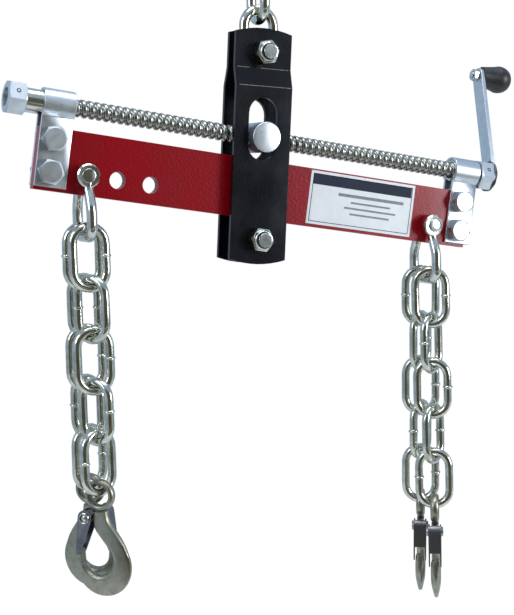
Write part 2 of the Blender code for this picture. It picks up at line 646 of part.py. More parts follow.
def hook_outline():
    """The hook's flat: eye, rivet lug, bowl and back, with the eye's middle at the origin."""
    bowl = (BOWL_SIDE, -BOWL_DROP)
    back = (BOWL_SIDE + HOOK_BACK_SHIFT.x, -BOWL_DROP + HOOK_BACK_SHIFT.y)
    outline = arc((0, 0), HOOK_EYE_RADIUS, -52, 222, 14)
    outline += arc((RIVET_SIDE, -RIVET_DROP), RIVET_LUG, 112, 285, 7)
    outline += [(-NECK_HALF_WIDTH, -NECK_DROP - NECK_HALF_WIDTH)]
    outline += arc(bowl, BOWL_RADIUS, 42, -192, 14)
    outline += list(HOOK_TIP)
    outline += arc(back, HOOK_BACK_RADIUS, 158, 386, 16)
    outline += list(HOOK_SHOULDER)
    outline += [(NECK_HALF_WIDTH + 0.001, -NECK_DROP)]
    eye = circle((0, 0), HOOK_EYE_BORE, 14)
    rivet = circle((RIVET_SIDE, -RIVET_DROP), RIVET_RADIUS + RUNNING_GAP, 8)
    return [outline, eye, rivet]


def hook_mesh():
    return slab_mesh("hook", hook_outline(), HOOK_THICKNESS)


def latch_outlines():
    """The latch seen from the side, and the space inside its fold."""
    lug = RIVET_LUG + SEAT_GAP + LATCH_SHEET
    x, z = RIVET_SIDE, -RIVET_DROP
    toe = (x - lug - 0.004, z - LATCH_REACH)
    ear = arc((x, z), lug, 20, 180, 8)
    outer = ear + [(toe[0], toe[1] + 0.004), (toe[0] + 0.001, toe[1]), (toe[0] + 0.004, toe[1]),
                   (x + lug * 0.8, z - lug * 0.6)]
    inside_radius = lug - LATCH_SHEET
    slope = (toe[0] - (x - lug)) / (LATCH_REACH - 0.004)
    spine_end = (x - inside_radius + slope * LATCH_SPINE, z - LATCH_SPINE)
    far = 0.06
    inner = [(x - inside_radius, z), spine_end, (spine_end[0] - 0.01, spine_end[1]), (x - 0.03, z - far),
             (x + far, z - far), (x + far, z + far), (x - LATCH_MOUTH, z + far)]
    inner += arc((x, z), inside_radius, 90 + degrees(asin(LATCH_MOUTH / inside_radius)), 180, 5)[:-1]
    return outer, inner


def make_hook(name, frame, z, turn, hook_shape, latch_shape, fold_shape):
    """A hook on the last link, and its latch folded round the rivet lug."""
    hang = frame_empty(name + "_hang", frame, (0, 0, z), (0, 0, turn))
    add_object(name, hook_shape, hang, (0, 0, 0), FACING_FRONT, ZINC)
    latch = add_object(name.replace("hook", "latch"), latch_shape, hang, (0, 0, 0), FACING_FRONT, ZINC)
    fold = add_object(name + "_latch_fold", fold_shape, hang, (0, 0, 0), FACING_FRONT, None)
    boolean(latch, fold)
    place = (RIVET_SIDE, 0, -RIVET_DROP)
    rivet = rod(name + "_rivet", RIVET_RADIUS, 2 * LATCH_HALF, hang, place, ALONG_Y, None, 8)
    boolean(latch, rivet, "UNION")
    for end, side in (("front", -1), ("back", 1)):
        middle = side * (LATCH_HALF + RIVET_HEAD_PROUD / 2 - LATCH_SHEET / 4)
        head = rod(f"{name}_{end}_rivet_head", RIVET_HEAD, RIVET_HEAD_PROUD + LATCH_SHEET / 2, hang,
                   (place[0], middle, place[2]), ALONG_Y, None, 8)
        boolean(latch, head, "UNION")


def make_chains():
    link_shape = link_curve("link", LINK_LENGTH, LINK_WIDTH, CHAIN_WIRE)
    hook_shape = hook_mesh()
    outer, inner = latch_outlines()
    latch_shape = slab_mesh("latch", [outer], 2 * LATCH_HALF)
    fold_shape = slab_mesh("fold", [inner], 2 * (LATCH_HALF - LATCH_SHEET))
    turns = {"left": (LEFT_LINK_TURNS, LEFT_HOOK_TURNS), "right": (RIGHT_LINK_TURNS, RIGHT_HOOK_TURNS)}
    for side, x in shackle_places().items():
        pin = world_point(beam_frame, (x, 0, BEAM_BOTTOM + PIN_HOLE_HEIGHT))
        shackle_frame = frame_empty(f"shackle_{side}_frame", None, pin)
        make_shackle(side, shackle_frame)
        link_turns, hook_turns = turns[side]
        for row, sign, hook_turn in (("front", -1, hook_turns[0]), ("rear", 1, hook_turns[1])):
            hang = frame_empty(f"chain_{side}_{row}", shackle_frame,
                               (0, sign * CHAIN_SPACING / 2, -BOW_WIRE_DROP), (sign * CHAIN_SPLAY, 0, 0))
            for i in range(LINKS_PER_CHAIN):
                add_object(f"link_{side}_{row}_{i + 1}", link_shape, hang,
                           (0, 0, FIRST_LINK_Z - i * LINK_PITCH), (0, 0, link_turns[i]), ZINC)
            last_wire = FIRST_LINK_Z - (LINKS_PER_CHAIN - 1) * LINK_PITCH - LINK_REACH
            eye_z = last_wire - HOOK_EYE_BORE + CHAIN_WIRE / 2 + EYE_REST_GAPS[side]
            make_hook(f"hook_{side}_{row}", hang, eye_z, hook_turn, hook_shape, latch_shape, fold_shape)


def make_all():
    make_top_links()
    make_plates()
    make_hanger_bolt("top", 0, PLATE_GAP_TOP)
    make_hanger_bolt("bottom", -TRUNNION_BELOW_BOLT - BOTTOM_BOLT_BELOW_TRUNNION, PLATE_GAP)
    make_roller()
    make_trunnion_nut()
    make_beam()
    make_straps()
    make_bushes()
    make_screw()
    make_crank_arm()
    make_knob()
    make_chains()


make_all()
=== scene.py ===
"""Looks of the engine load leveller: paint, zinc plate, thread, forged hooks, chain and a studio."""

import json
from math import atan2, cos, pi, radians, sin, tan

import bmesh
import bpy
from mathutils import Matrix, Vector


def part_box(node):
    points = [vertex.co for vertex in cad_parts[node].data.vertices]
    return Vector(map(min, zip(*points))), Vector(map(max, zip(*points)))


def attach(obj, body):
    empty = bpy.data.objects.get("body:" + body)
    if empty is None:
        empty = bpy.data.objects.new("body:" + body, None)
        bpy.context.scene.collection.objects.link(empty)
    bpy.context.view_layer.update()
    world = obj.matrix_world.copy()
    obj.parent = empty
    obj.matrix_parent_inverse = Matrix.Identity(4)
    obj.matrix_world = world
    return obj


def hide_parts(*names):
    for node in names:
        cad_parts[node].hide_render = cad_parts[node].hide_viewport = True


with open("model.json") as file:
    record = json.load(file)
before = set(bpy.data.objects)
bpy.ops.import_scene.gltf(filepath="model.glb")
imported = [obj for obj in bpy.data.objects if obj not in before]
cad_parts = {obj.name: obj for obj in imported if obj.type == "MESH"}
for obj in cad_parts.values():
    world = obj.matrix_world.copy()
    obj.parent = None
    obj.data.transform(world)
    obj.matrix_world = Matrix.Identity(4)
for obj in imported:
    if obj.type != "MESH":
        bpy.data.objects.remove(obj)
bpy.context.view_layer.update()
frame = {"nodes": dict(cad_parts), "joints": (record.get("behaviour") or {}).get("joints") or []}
NODES = frame["nodes"]
JOINTS = {joint["name"]: joint for joint in frame["joints"]}

# Sizes in metres. The thread shown is larger than the CAD's plain rod
SCREW_RADIUS = 0.0095
THREAD_ROOT = 0.0074
THREAD_PITCH = 0.008
SCREW_RECESS = 0.005
WELD_RADIUS = 0.0166
CHAIN_WIRE = 0.0095
LINK_LENGTH = 0.0738
LINK_WIDTH = 0.045
TOP_WIRE = 0.011
TOP_LINK_LENGTH = 0.072
TOP_LINK_WIDTH = 0.046
HEX_TURN = radians(25)
RIVET_SIDE = -0.0155
RIVET_DROP = 0.0245
EYE_RADIUS = 0.0138
STRAP_BOLT_FACE = 0.0096
STRAP_BOLT_HEAD = 0.010
STRAP_NUT_HEIGHT = 0.0092
BOLT_FLATS = 0.024
BACK_NUT_TURN = 0.3
TOP_PLATE_FACE = 0.0118
LOW_PLATE_FACE = 0.0183
TRUNNION_RADIUS = 0.0165
TRUNNION_HALF = 0.030
BUSH_RADIUS = 0.0125
SCREW_NUT_FLATS = 0.032
KNOB_NUT_FLATS = 0.013
SHACKLE_WIRE = 0.011
SHACKLE_EYE_OUT = 0.0155
PIN_RADIUS = 0.00635
BOW_HALF = 0.0245
BOW_WAIST = 0.013
BOW_CORNER = 0.013
BOW_DROP = 0.0635

# Hook: the bowl's inside and its back, as arcs round two middles, angles in degrees
BOWL = (-0.0035, -0.0685)
BOWL_RADIUS = 0.0175
BACK = (0.002, -0.076)
BACK_RADIUS = 0.033
HOOK_HALF = 0.0055
INNER_START = 186
INNER_SWEEP = 216
OUTER_START = 164
OUTER_SWEEP = 222
EYE_WIRE_RADIUS = 0.0034
EYE_STRETCH = 1.45
SPRING_RADIUS = 0.0052
SPRING_WIRE_RADIUS = 0.0006
SPRING_START = 0.0080
SPRING_STEP = 0.0012
WELD_ABOVE_MIDDLE = 0.0012
BEAM_FACE = 0.006
LABEL_LEFT = 0.0705
LABEL_RIGHT = 0.207
LABEL_FOOT = -0.0850
LABEL_TOP = -0.0252
LABEL_MARGIN = 0.0030
LABEL_LINE = 0.0007
PAPER_LEVEL = -BEAM_FACE - 0.00015
INK_LEVEL = -BEAM_FACE - 0.00030
STICKER_THICKNESS = 0.00025
FLOOR_HEIGHT = -1.25

# How finely the pieces are made
LINK_ARC_STEPS = 12
BOWL_STEPS = 26
WIRE_SIDES = 14
THREAD_STEPS = 36
HEXAGON_POINTS = 72
CHAMFER_ANGLE = radians(28)
INSET = 0.0001
MERGE_DISTANCE = 0.000002
THREAD_MERGE = 0.00002

# Where a nut's or a head's chamfer starts, as a share of its half width over the flats
HEAD_CHAMFER = 0.90
NUT_CHAMFER = 0.93
PLAIN_NUT_CHAMFER = 0.95

# Photograph's camera, fitted to the object's corners: pixels are of the 514 x 615 picture
PHOTO_WIDTH = 514
PHOTO_HEIGHT = 615
PHOTO_FOCAL_PIXELS = 1315.0
SENSOR = 36.0
CAMERA_FROM_TRUNNION = Vector((-0.6112, -1.3213, -0.0292))
CAMERA_AZIMUTH = radians(24.7)
CAMERA_ELEVATION = radians(-6.2)
CAMERA_ROLL = radians(-1.39)


def joint_place(name):
    return Vector(JOINTS[name]["pos_m"])


def joint_axis(name):
    return Vector(JOINTS[name]["axis"]).normalized()


def middle_of(node):
    low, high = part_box(node)
    return (low + high) / 2


def frame_matrix(origin, x_axis, y_axis):
    """A place with its own X and Y, as a 4 x 4 matrix."""
    z_axis = x_axis.cross(y_axis).normalized()
    rotation = Matrix((x_axis, y_axis, z_axis)).transposed()
    return Matrix.Translation(origin) @ rotation.to_4x4()


Y_AXIS = Vector((0, 1, 0))
TRUNNION = joint_place("beam_tilt")
BEAM = frame_matrix(TRUNNION, joint_axis("beam_travel"), Y_AXIS)
TOP_BOLT = joint_place("hanger_swing")
BOTTOM_BOLT = joint_place("roller_spin")
HANGER = frame_matrix(TOP_BOLT, Y_AXIS.cross((TOP_BOLT - BOTTOM_BOLT).normalized()), Y_AXIS)
ALONG_X = Matrix.Rotation(pi / 2, 4, "Y")
TO_FRONT = Matrix.Rotation(pi / 2, 4, "X")
TO_REAR = Matrix.Rotation(-pi / 2, 4, "X")


def span_along_screw(node):
    """Where a node starts and ends along the screw, from the trunnion."""
    along = [(BEAM.inverted() @ vert.co).x for vert in NODES[node].data.vertices]
    return min(along), max(along)


# ---------------------------------------------------------------- materials

def new_group(name, inputs, outputs):
    group = bpy.data.node_groups.new(name, "ShaderNodeTree")
    for label, kind, value in inputs:
        socket = group.interface.new_socket(label, in_out="INPUT", socket_type=kind)
        socket.default_value = value
    for label, kind in outputs:
        group.interface.new_socket(label, in_out="OUTPUT", socket_type=kind)
    start = group.nodes.new("NodeGroupInput")
    end = group.nodes.new("NodeGroupOutput")
    return group, start, end


def noise_node(tree, scale, detail, coordinates, roughness=0.5):
    node = tree.nodes.new("ShaderNodeTexNoise")
    node.inputs["Scale"].default_value = scale
    node.inputs["Detail"].default_value = detail
    node.inputs["Roughness"].default_value = roughness
    tree.links.new(coordinates, node.inputs["Vector"])
    return node


def map_range(tree, value, low, high, to_low, to_high):
    node = tree.nodes.new("ShaderNodeMapRange")
    tree.links.new(value, node.inputs["Value"])
    for label, number in (("From Min", low), ("From Max", high), ("To Min", to_low), ("To Max", to_high)):
        node.inputs[label].default_value = number
    return node.outputs["Result"]


def mottle_group():
    """Cloudy plate: a colour between two, and a roughness between two."""
    group, start, end = new_group(
        "mottle",
        [("Light", "NodeSocketColor", (1, 1, 1, 1)), ("Dark", "NodeSocketColor", (0, 0, 0, 1)),
         ("Smooth", "NodeSocketFloat", 0.2), ("Rough", "NodeSocketFloat", 0.4),
         ("Scale", "NodeSocketFloat", 60.0)],
        [("Color", "NodeSocketColor"), ("Roughness", "NodeSocketFloat")])
    place = group.nodes.new("ShaderNodeTexCoord")
    noise = noise_node(group, 60, 6, place.outputs["Object"], 0.6)
    group.links.new(start.outputs["Scale"], noise.inputs["Scale"])
    mask = map_range(group, noise.outputs["Fac"], 0.35, 0.65, 0.0, 1.0)
    mix = group.nodes.new("ShaderNodeMix")
    mix.data_type = "RGBA"
    group.links.new(mask, mix.inputs["Factor"])
    group.links.new(start.outputs["Light"], mix.inputs["A"])
    group.links.new(start.outputs["Dark"], mix.inputs["B"])
    blend = group.nodes.new("ShaderNodeMix")
    group.links.new(mask, blend.inputs["Factor"])
    group.links.new(start.outputs["Smooth"], blend.inputs["A"])
    group.links.new(start.outputs["Rough"], blend.inputs["B"])
    group.links.new(mix.outputs["Result"], end.inputs["Color"])
    group.links.new(blend.outputs["Result"], end.inputs["Roughness"])
    return group


def relief_group():
    """A fine uneven surface as a normal: orange peel on paint, pitting on steel."""
    group, start, end = new_group(
        "relief",
        [("Scale", "NodeSocketFloat", 300.0), ("Strength", "NodeSocketFloat", 0.1),
         ("Depth", "NodeSocketFloat", 0.0002)],
        [("Normal", "NodeSocketVector")])
    place = group.nodes.new("ShaderNodeTexCoord")
    noise = noise_node(group, 300, 3, place.outputs["Object"], 0.5)
    group.links.new(start.outputs["Scale"], noise.inputs["Scale"])
    bump = group.nodes.new("ShaderNodeBump")
    group.links.new(noise.outputs["Fac"], bump.inputs["Height"])
    group.links.new(start.outputs["Strength"], bump.inputs["Strength"])
    group.links.new(start.outputs["Depth"], bump.inputs["Distance"])
    group.links.new(bump.outputs["Normal"], end.inputs["Normal"])
    return group


MOTTLE = mottle_group()
RELIEF = relief_group()


def finish_material(name, light, dark, smooth, rough, mottle_scale, relief_scale, relief_depth,
                    metallic=0.0, coat=0.0, coat_roughness=0.1, relief_strength=0.5, specular=0.5):
    """A mottled finish with a fine relief: roughness from smooth to rough, depth in metres."""
    material = bpy.data.materials.new(name)
    material.use_nodes = True
    tree = material.node_tree
    shader = tree.nodes["Principled BSDF"]
    mottle = tree.nodes.new("ShaderNodeGroup")
    mottle.node_tree = MOTTLE
    mottle.inputs["Light"].default_value = (*light, 1)
    mottle.inputs["Dark"].default_value = (*dark, 1)
    mottle.inputs["Smooth"].default_value = smooth
    mottle.inputs["Rough"].default_value = rough
    mottle.inputs["Scale"].default_value = mottle_scale
    relief = tree.nodes.new("ShaderNodeGroup")
    relief.node_tree = RELIEF
    relief.inputs["Scale"].default_value = relief_scale
    relief.inputs["Depth"].default_value = relief_depth
    relief.inputs["Strength"].default_value = relief_strength
    tree.links.new(mottle.outputs["Color"], shader.inputs["Base Color"])
    tree.links.new(mottle.outputs["Roughness"], shader.inputs["Roughness"])
    tree.links.new(relief.outputs["Normal"], shader.inputs["Normal"])
    shader.inputs["Metallic"].default_value = metallic
    shader.inputs["Coat Weight"].default_value = coat
    shader.inputs["Coat Roughness"].default_value = coat_roughness
    shader.inputs["Specular IOR Level"].default_value = specular
    material.diffuse_color = (*light, 1)
    return material


RED = finish_material("red_enamel", (0.310, 0.0008, 0.007), (0.265, 0.0006, 0.006), 0.26, 0.34, 14, 330,
                      0.0005, coat=0.2, coat_roughness=0.10, relief_strength=0.5, specular=0.22)
BLACK = finish_material("black_enamel", (0.0022, 0.0022, 0.0035), (0.004, 0.0035, 0.006), 0.16, 0.26, 20, 350,
                        0.0002, coat=0.08, coat_roughness=0.05, relief_strength=0.25, specular=0.3)
CHAIN_ZINC = finish_material("chain_zinc", (0.72, 0.72, 0.65), (0.46, 0.45, 0.37), 0.07, 0.20, 90, 260,
                             0.0003, metallic=1.0, relief_strength=0.25)
BRIGHT_ZINC = finish_material("bright_zinc", (0.72, 0.72, 0.68), (0.54, 0.54, 0.49), 0.10, 0.24, 120, 500,
                              0.00015, metallic=1.0, relief_strength=0.25)
SHEET_ZINC = finish_material("sheet_zinc", (0.66, 0.70, 0.73), (0.56, 0.60, 0.64), 0.30, 0.42, 70, 900,
                             0.0001, metallic=1.0, relief_strength=0.3)
HOOK_ZINC = finish_material("hook_zinc", (0.37, 0.35, 0.28), (0.27, 0.26, 0.20), 0.30, 0.44, 110, 1100,
                            0.00018, metallic=1.0, relief_strength=0.5)
DARK_STEEL = finish_material("dark_steel", (0.12, 0.12, 0.13), (0.07, 0.07, 0.08), 0.3, 0.5, 150, 900,
                             0.0001, metallic=1.0)
BLACK_PLASTIC = finish_material("black_plastic", (0.012, 0.012, 0.013), (0.02, 0.02, 0.021), 0.32, 0.48, 90,
                                1400, 0.0001, relief_strength=0.4)
NYLON = finish_material("nylon_ring", (0.03, 0.035, 0.04), (0.02, 0.022, 0.025), 0.4, 0.5, 200, 900, 0.00005)
THREAD_ZINC = finish_material("thread_zinc", (0.40, 0.40, 0.36), (0.26, 0.26, 0.23), 0.22, 0.32, 160, 700,
                              0.0001, metallic=1.0, relief_strength=0.08)
# Zinc for the latch, darkened all over as painted shade for the latch's shadowed flank
LATCH_ZINC_SHADED = finish_material("latch_zinc_painted_shade", (0.24, 0.23, 0.24), (0.15, 0.15, 0.17), 0.28, 0.42, 90, 900,
                             0.0001, metallic=1.0, relief_strength=0.3)
# Painted highlight: a light beige strip colour standing in for light caught on the front plate's folds
FOLD_HIGHLIGHT = finish_material("painted_fold_highlight", (0.26, 0.24, 0.18), (0.12, 0.11, 0.08), 0.4, 0.55, 260, 900, 0.0001)
STICKER_WHITE = finish_material("sticker_white", (0.82, 0.83, 0.84), (0.76, 0.77, 0.79), 0.35, 0.42, 60, 500,
                                0.0001, relief_strength=0.2)
STICKER_DARK = finish_material("sticker_dark", (0.018, 0.024, 0.045), (0.028, 0.034, 0.058), 0.5, 0.6, 80,
                               500, 0.00005, specular=0.15)
STICKER_GREY = finish_material("sticker_grey", (0.22, 0.23, 0.26), (0.16, 0.17, 0.20), 0.4, 0.5, 300, 500,
                               0.00005)


# ---------------------------------------------------------------- making pieces

def add_piece(name, bm, place, material, body, replaces=(), smooth_angle=35):
    """A mesh put in place, with its finish and what it stands for."""
    bmesh.ops.remove_doubles(bm, verts=bm.verts, dist=MERGE_DISTANCE)
    bmesh.ops.transform(bm, matrix=place, verts=bm.verts)
    bmesh.ops.recalc_face_normals(bm, faces=bm.faces)
    mesh = bpy.data.meshes.new(name)
    bm.to_mesh(mesh)
    bm.free()
    mesh.shade_smooth()
    mesh.set_sharp_from_angle(angle=radians(smooth_angle))
    mesh.materials.append(material)
    obj = bpy.data.objects.new(name, mesh)
    bpy.context.scene.collection.objects.link(obj)
    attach(obj, body)
    if replaces:
        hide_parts(*replaces)
    return obj


def bevel_modifier(obj, width, segments, angle):
    modifier = obj.modifiers.new("rounded_edges", "BEVEL")
    modifier.width = width
    modifier.segments = segments
    modifier.limit_method = "ANGLE"
    modifier.angle_limit = radians(angle)
    modifier.harden_normals = True


def turned(profile, segments):
    """A profile of (radius, height) pairs spun round Z, closed at poles."""
    bm = bmesh.new()
    verts = [bm.verts.new((radius, 0, height)) for radius, height in profile]
    edges = [bm.edges.new(pair) for pair in zip(verts, verts[1:])]
    bmesh.ops.spin(bm, geom=verts + edges, cent=(0, 0, 0), axis=(0, 0, 1), angle=2 * pi, steps=segments,
                   use_merge=True)
    bmesh.ops.remove_doubles(bm, verts=bm.verts, dist=MERGE_DISTANCE)
    return bm


def rounded(radius, low, high, edge, steps=3):
    """The profile of a solid cylinder whose rims are rounded by edge."""
    points = [(0.0, low)]
    for i in range(steps + 1):
        a = -pi / 2 + pi / 2 * i / steps
        points.append((radius - edge + edge * cos(a), low + edge + edge * sin(a)))
    for i in range(steps + 1):
        a = pi / 2 * i / steps
        points.append((radius - edge + edge * cos(a), high - edge + edge * sin(a)))
    return points + [(0.0, high)]


def wire_ring(bm, point, tangent, normal, radius, sides):
    """One round section of a wire, square to its tangent."""
    basis = Matrix((normal, tangent.cross(normal), tangent)).transposed().to_4x4()
    basis.translation = point
    return bmesh.ops.create_circle(bm, segments=sides, radius=radius, matrix=basis)["verts"]


def skin(bm, rings):
    """Faces from each ring of points to the next."""
    for first, second in zip(rings, rings[1:]):
        for k in range(len(first)):
            following = (k + 1) % len(first)
            bm.faces.new((first[k], first[following], second[following], second[k]))


def close_ends(bm, rings):
    bm.faces.new(list(reversed(rings[0])))
    bm.faces.new(rings[-1])


def circle_points(radius, count, level=0.0):
    """Points round the Y axis, at one level along it."""
    angles = [2 * pi * i / count for i in range(count)]
    return [Vector((radius * cos(a), level, radius * sin(a))) for a in angles]


def tube(points, radius, sides=WIRE_SIDES):
    """A round wire bent to a closed ring through points that share one Y."""
    bm = bmesh.new()
    rings = []
    for i, point in enumerate(points):
        tangent = (points[(i + 1) % len(points)] - points[i - 1]).normalized()
        normal = tangent.cross(Y_AXIS).normalized()
        rings.append(wire_ring(bm, point, tangent, normal, radius, sides))
    skin(bm, rings + rings[:1])
    return bm


def merge(bm, other, place=Matrix.Identity(4)):
    """The faces of other added to bm, at place."""
    bmesh.ops.transform(other, matrix=place, verts=other.verts)
    mesh = bpy.data.meshes.new("part")
    other.to_mesh(mesh)
    other.free()
    bm.from_mesh(mesh)
    bpy.data.meshes.remove(mesh)


def softened(node, body, material, width, segments=2, angle=28, smooth_angle=40):
    """A copy of a CAD solid, merged and cleaned, with its edges rounded."""
    bm = bmesh.new()
    bm.from_mesh(NODES[node].data)
    bmesh.ops.remove_doubles(bm, verts=bm.verts, dist=MERGE_DISTANCE)
    bmesh.ops.dissolve_limit(bm, angle_limit=radians(0.8), verts=bm.verts, edges=bm.edges)
    obj = add_piece(node + "_finished", bm, Matrix.Identity(4), material, body, (node,), smooth_angle)
    bevel_modifier(obj, width, segments, angle)


# ---------------------------------------------------------------- chain and links

def stadium_points(length, width, wire):
    """The middle line of a link, upright in the XZ plane."""
    radius = (width - wire) / 2
    straight = (length - wire) / 2 - radius
    points = []
    for end in (1, -1):
        for i in range(LINK_ARC_STEPS + 1):
            a = pi * i / LINK_ARC_STEPS
            points.append(Vector((end * radius * cos(a), 0, end * (straight + radius * sin(a)))))
        for i in range(1, 4):
            points.append(Vector((-end * radius, 0, end * (straight - 2 * straight * i / 4))))
    return points


def weld_ring(bm, x, wire):
    """The flash left by the weld: an uneven collar round one bar."""
    shape = [(0.46, -0.0017), (0.54, -0.0013), (0.60, -0.0005), (0.60, 0.0006), (0.54, 0.0014),
             (0.46, 0.0018)]
    ring_bm = turned([(wire * share, height) for share, height in shape], 18)
    for vert in ring_bm.verts:
        a = atan2(vert.co.y, vert.co.x)
        vert.co.z += 0.0004 * sin(2 * a + 0.6)
        swell = 1 + 0.035 * sin(3 * a + 1.0) + 0.02 * sin(7 * a)
        vert.co.x *= swell
        vert.co.y *= swell
    merge(bm, ring_bm, Matrix.Translation((x, 0, WELD_ABOVE_MIDDLE)))


def link_place(node, flat_axis, up):
    side = up.cross(flat_axis).normalized()
    return frame_matrix(middle_of(node), flat_axis.normalized(), side)


def make_link(node, body, flat_axis, up, length, width, wire, weld_side):
    """A round wire bent to a link; weld_side is -1, 1, or 0 for a link whose weld is out of sight."""
    bm = tube(stadium_points(length, width, wire), wire / 2)
    if weld_side:
        weld_ring(bm, weld_side * (width - wire) / 2, wire)
    place = link_place(node, flat_axis, up)
    add_piece(node + "_wire", bm, place, CHAIN_ZINC, body, (node,), 60)


def make_chains():
    for side in ("left", "right"):
        for row in ("front", "rear"):
            names = [f"link_{side}_{row}_{i}" for i in range(1, 6)]
            middles = [middle_of(name) for name in names]
            up = (middles[0] - middles[-1]).normalized()
            followers = [name + "_swing" for name in names[1:]] + [f"hook_{side}_{row}_swing"]
            for i, (name, follower) in enumerate(zip(names, followers)):
                flat = joint_axis(follower)
                if flat.x < 0:
                    flat = -flat
                weld_side = 1 if (i + (row == "rear")) % 3 != 1 else -1
                make_link(name, name, flat, up, LINK_LENGTH, LINK_WIDTH, CHAIN_WIRE, weld_side)


def make_top_links():
    up = Vector((0, 0, 1))
    make_link("top_link_a", "lower_link", Vector((1, 0, 0)), up, TOP_LINK_LENGTH, TOP_LINK_WIDTH, TOP_WIRE, 0)
    make_link("top_link_b", "hoist_link", Y_AXIS, up, TOP_LINK_LENGTH, TOP_LINK_WIDTH, TOP_WIRE, 0)


# ---------------------------------------------------------------- hooks

def hook_frame(side, row):
    """The hook's own place: the rivet, with X along the hook's flat."""
    normal = -joint_axis(f"latch_{side}_{row}_press")
    rivet = joint_place(f"latch_{side}_{row}_press")
    flat = Vector((normal.y, -normal.x, 0)).normalized()
    return frame_matrix(rivet, flat, normal)


def hook_stations():
    """Inner and outer places of each section from tip to neck, and its half thickness."""
    tip = [((-0.0238, -0.0562), (-0.0262, -0.0560), 0.0024),
           ((-0.0224, -0.0576), (-0.0284, -0.0572), 0.0042),
           ((-0.0214, -0.0605), (-0.0297, -0.0612), 0.0050)]
    bowl = []
    for i in range(BOWL_STEPS + 1):
        share = i / BOWL_STEPS
        inner = radians(INNER_START + INNER_SWEEP * share)
        outer = radians(OUTER_START + OUTER_SWEEP * share)
        bowl.append(((BOWL[0] + BOWL_RADIUS * cos(inner), BOWL[1] + BOWL_RADIUS * sin(inner)),
                     (BACK[0] + BACK_RADIUS * cos(outer), BACK[1] + BACK_RADIUS * sin(outer)),
                     HOOK_HALF))
    neck = [((0.0062, -0.0530), (0.0282, -0.0530), 0.0055),
            ((0.0022, -0.0482), (0.0238, -0.0455), 0.0054),
            ((-0.0018, -0.0435), (0.0188, -0.0385), 0.0052),
            ((-0.0055, -0.0390), (0.0142, -0.0325), 0.0050),
            ((-0.0082, -0.0335), (0.0108, -0.0275), 0.0047),
            ((-0.0090, -0.0270), (0.0092, -0.0225), 0.0044),
            ((-0.0085, -0.0190), (0.0085, -0.0170), 0.0042)]
    return tip + bowl + neck


def forged_body(bm):
    """The hook's bar from tip to neck: drawn out thin at the back of the bowl, round at both ends."""
    # From inside to outside: place across the bar, half thickness where drawn out, and where round
    section = [(0.0, 0.0, 0.0), (0.03, 0.45, 0.45), (0.09, 0.78, 0.80), (0.17, 0.96, 0.97), (0.27, 1.0, 1.0),
               (0.32, 0.97, 1.0), (0.55, 0.80, 1.0), (0.80, 0.55, 0.95), (0.93, 0.42, 0.80),
               (0.98, 0.30, 0.45), (1.0, 0.0, 0.0)]
    stations = hook_stations()
    rings = []
    for k, (inner, outer, half) in enumerate(stations):
        start = Vector((inner[0], 0, inner[1]))
        stop = Vector((outer[0], 0, outer[1]))
        near_neck = max(0.0, min(1.0, (k - len(stations) + 9) / 6))
        near_tip = max(0.0, 1 - k / 6)
        blend = max(near_neck, near_tip)
        ring = []
        for side, points in ((1, section), (-1, section[-2:0:-1])):
            for across, drawn, full in points:
                level = side * half * (drawn + (full - drawn) * blend)
                ring.append(bm.verts.new(start.lerp(stop, across) + Vector((0, level, 0))))
        rings.append(ring)
    skin(bm, rings)
    close_ends(bm, rings)


def make_forging(side, row):
    """Forged bar, round eye and the latch's lug."""
    hook = f"hook_{side}_{row}"
    place = hook_frame(side, row) @ Matrix.Translation((-RIVET_SIDE, 0, RIVET_DROP))
    bm = bmesh.new()
    forged_body(bm)
    eye = tube(circle_points(EYE_RADIUS, 40), EYE_WIRE_RADIUS, 16)
    merge(bm, eye, Matrix.Scale(EYE_STRETCH, 4, Y_AXIS))
    lug = turned(rounded(0.0064, -0.0052, 0.0052, 0.0009), 28)
    merge(bm, lug, Matrix.Translation((RIVET_SIDE, 0, -RIVET_DROP)) @ TO_FRONT)
    add_piece(hook + "_forging", bm, place, HOOK_ZINC, hook, (hook,), 34)


def make_latch(side, row):
    """Sheet latch, the rivet's two heads and the spring's coils."""
    latch = f"latch_{side}_{row}"
    softened(latch, latch, LATCH_ZINC_SHADED, 0.0003, 1, 40)
    bm = bmesh.new()
    for sign in (1, -1):
        head = turned([(0.0, 0.0102), (0.0016, 0.0100), (0.0030, 0.0094), (0.0038, 0.0084), (0.0040, 0.0074),
                       (0.0, 0.0074)], 20)
        merge(bm, head, Matrix.Rotation(-sign * pi / 2, 4, "X"))
        for coil in range(2):
            path = circle_points(SPRING_RADIUS, 18, sign * (SPRING_START + SPRING_STEP * coil))
            merge(bm, tube(path, SPRING_WIRE_RADIUS, 8))
    place = hook_frame(side, row)
    add_piece(latch + "_rivet_and_spring", bm, place, BRIGHT_ZINC, latch, (), 40)


def make_hooks():
    for side in ("left", "right"):
        for row in ("front", "rear"):
            make_forging(side, row)
            make_latch(side, row)


# ---------------------------------------------------------------- shackles

def bow_points():
    """The bow's wire from eye to eye, in the shackle's YZ plane."""
    half = [Vector((0, SHACKLE_EYE_OUT, -0.004)),
            Vector((0, SHACKLE_EYE_OUT + 0.0004, -BOW_WAIST)),
            Vector((0, (SHACKLE_EYE_OUT + BOW_HALF) / 2, -BOW_WAIST * 1.75)),
            Vector((0, BOW_HALF - 0.0012, -BOW_WAIST * 2.35)),
            Vector((0, BOW_HALF, -BOW_WAIST * 2.9)),
            Vector((0, BOW_HALF, -BOW_DROP + BOW_CORNER + 0.004))]
    for i in range(9):
        a = -pi / 2 * i / 8
        half.append(Vector((0, BOW_HALF - BOW_CORNER + BOW_CORNER * cos(a),
                            -BOW_DROP + BOW_CORNER + BOW_CORNER * sin(a))))
    return half + [Vector((0, -p.y, p.z)) for p in reversed(half)]


